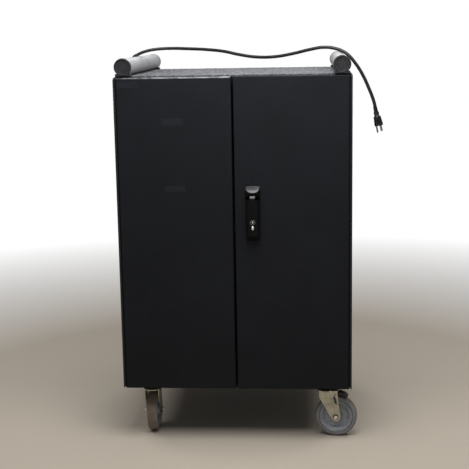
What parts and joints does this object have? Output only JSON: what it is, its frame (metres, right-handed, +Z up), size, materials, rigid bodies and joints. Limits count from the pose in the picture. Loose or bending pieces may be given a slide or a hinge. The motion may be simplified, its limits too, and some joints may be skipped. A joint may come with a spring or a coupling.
{
  "type": "laptop charging cart",
  "caption": "Steel cabinet on swivel casters with double doors, a swing-handle lock, grip tubes on top, divider racks inside and a power cord.",
  "frame": {"origin": "floor level, under the middle of the cart's footprint", "axes": "+Z up, the doors face -Y, +X is the viewer's right when facing the doors"},
  "size_m": [0.8455, 0.6604, 1.1588],
  "materials": {
    "cabinet_paint": "black textured powder coat",
    "rack_paint": "satin",
    "strip_shell": "matte",
    "mat_rubber": "pebbled",
    "tube_paint": "hammered grey",
    "black_plastic": "matte",
    "hinge_paint": "satin",
    "lock_black": "satin",
    "nickel": "nickel plated",
    "steel": "plated",
    "zinc_steel": "zinc plated",
    "wheel_rubber": "matte grey",
    "pedal_black": "satin",
    "cord_rubber": "satin"
  },
  "bodies": {
    "cabinet": {"base_pan": "cabinet_paint", "left_side_panel": "cabinet_paint", "right_side_panel": "cabinet_paint", "back_panel": "cabinet_paint", "top_panel": "cabinet_paint", "middle_shelf": "cabinet_paint", "lower_divider_rack": "rack_paint", "upper_divider_rack": "rack_paint", "lower_power_strip": "strip_shell", "upper_power_strip": "strip_shell", "top_mat": "mat_rubber", "left_grip_tube": "tube_paint", "right_grip_tube": "tube_paint", "left_front_tube_cap": "black_plastic", "left_rear_tube_cap": "black_plastic", "right_front_tube_cap": "black_plastic", "right_rear_tube_cap": "black_plastic", "magnetic_catch": "black_plastic", "cord_gland": "black_plastic", "plug": "black_plastic", "left_hinge_frame_leaf": "hinge_paint", "right_hinge_frame_leaf": "hinge_paint", "left_hinge_pin": "steel", "right_hinge_pin": "steel", "front_left_caster_plate": "zinc_steel", "front_right_caster_plate": "zinc_steel", "rear_left_caster_plate": "zinc_steel", "rear_right_caster_plate": "zinc_steel", "power_cord": "cord_rubber"},
    "left_door_leaf": {"left_door": "cabinet_paint", "left_hinge_door_leaf": "hinge_paint"},
    "right_door_leaf": {"right_door": "cabinet_paint", "right_hinge_door_leaf": "hinge_paint", "lock_base_plate": "lock_black"},
    "lock_turning_head": {"lock_head": "lock_black", "lever_pin": "steel", "latch_cam": "steel"},
    "swing_lever": {"lock_lever": "lock_black", "lock_cylinder": "nickel"},
    "key_core": {"key_plug": "nickel"},
    "upper_rod": {"upper_latch_rod": "steel"},
    "lower_rod": {"lower_latch_rod": "steel"},
    "front_left_swivel": {"front_left_fork": "zinc_steel", "front_left_axle": "zinc_steel"},
    "front_left_roller": {"front_left_wheel": "wheel_rubber"},
    "front_left_brake": {"front_left_brake_pedal": "pedal_black"},
    "front_right_swivel": {"front_right_fork": "zinc_steel", "front_right_axle": "zinc_steel"},
    "front_right_roller": {"front_right_wheel": "wheel_rubber"},
    "front_right_brake": {"front_right_brake_pedal": "pedal_black"},
    "rear_left_swivel": {"rear_left_fork": "zinc_steel", "rear_left_axle": "zinc_steel"},
    "rear_left_roller": {"rear_left_wheel": "wheel_rubber"},
    "rear_right_swivel": {"rear_right_fork": "zinc_steel", "rear_right_axle": "zinc_steel"},
    "rear_right_roller": {"rear_right_wheel": "wheel_rubber"}
  },
  "joints": [
    {"name": "left_door_hinge", "type": "hinge", "parent": "cabinet", "child": "left_door_leaf", "pos_m": [-0.3345, -0.3065, 0.6], "axis": [0, 0, -1], "range_deg": [0, 180]},
    {"name": "right_door_hinge", "type": "hinge", "parent": "cabinet", "child": "right_door_leaf", "pos_m": [0.3345, -0.3065, 0.6], "axis": [0, 0, 1], "range_deg": [0, 180]},
    {"name": "lock_turn", "type": "hinge", "parent": "right_door_leaf", "child": "lock_turning_head", "pos_m": [0.055, -0.3158, 0.752], "axis": [0, -1, 0], "range_deg": [0, 90]},
    {"name": "lever_lift", "type": "hinge", "parent": "lock_turning_head", "child": "swing_lever", "pos_m": [0.055, -0.323, 0.739], "axis": [-1, 0, 0], "range_deg": [0, 25]},
    {"name": "key_turn", "type": "hinge", "parent": "swing_lever", "child": "key_core", "pos_m": [0.055, -0.336, 0.666], "axis": [0, -1, 0], "range_deg": [0, 90]},
    {"name": "upper_rod_slide", "type": "slide", "parent": "right_door_leaf", "child": "upper_rod", "axis": [0, 0, 1], "range_m": [0, 0.0199]},
    {"name": "lower_rod_slide", "type": "slide", "parent": "right_door_leaf", "child": "lower_rod", "axis": [0, 0, -1], "range_m": [0, 0.0199]},
    {"name": "front_left_swivel_turn", "type": "hinge", "parent": "cabinet", "child": "front_left_swivel", "pos_m": [-0.262, -0.244, 0.145], "axis": [0, 0, 1], "continuous": true},
    {"name": "front_left_wheel_roll", "type": "hinge", "parent": "front_left_swivel", "child": "front_left_roller", "pos_m": [-0.262, -0.212, 0.0625], "axis": [-1, 0, 0], "continuous": true},
    {"name": "front_left_brake_press", "type": "hinge", "parent": "front_left_swivel", "child": "front_left_brake", "pos_m": [-0.262, -0.214, 0.1315], "axis": [-1, 0, 0], "range_deg": [0, 8]},
    {"name": "front_right_swivel_turn", "type": "hinge", "parent": "cabinet", "child": "front_right_swivel", "pos_m": [0.262, -0.244, 0.145], "axis": [0, 0, 1], "continuous": true},
    {"name": "front_right_wheel_roll", "type": "hinge", "parent": "front_right_swivel", "child": "front_right_roller", "pos_m": [0.29388, -0.24679, 0.0625], "axis": [0.0872, 0.9962, 0], "continuous": true},
    {"name": "front_right_brake_press", "type": "hinge", "parent": "front_right_swivel", "child": "front_right_brake", "pos_m": [0.29189, -0.24661, 0.1315], "axis": [0.0872, 0.9962, 0], "range_deg": [0, 8]},
    {"name": "rear_left_swivel_turn", "type": "hinge", "parent": "cabinet", "child": "rear_left_swivel", "pos_m": [-0.262, 0.244, 0.145], "axis": [0, 0, 1], "continuous": true},
    {"name": "rear_left_wheel_roll", "type": "hinge", "parent": "rear_left_swivel", "child": "rear_left_roller", "pos_m": [-0.2933, 0.25065, 0.0625], "axis": [-0.2079, -0.9781, 0], "continuous": true},
    {"name": "rear_right_swivel_turn", "type": "hinge", "parent": "cabinet", "child": "rear_right_swivel", "pos_m": [0.262, 0.244, 0.145], "axis": [0, 0, 1], "continuous": true},
    {"name": "rear_right_wheel_roll", "type": "hinge", "parent": "rear_right_swivel", "child": "rear_right_roller", "pos_m": [0.28126, 0.26956, 0.0625], "axis": [-0.7986, 0.6018, 0], "continuous": true}
  ],
  "couplings": [
    {"joint": "upper_rod_slide", "follows": "lock_turn", "m_per_rad": 0.012605},
    {"joint": "lower_rod_slide", "follows": "lock_turn", "m_per_rad": 0.012605}
  ]
}
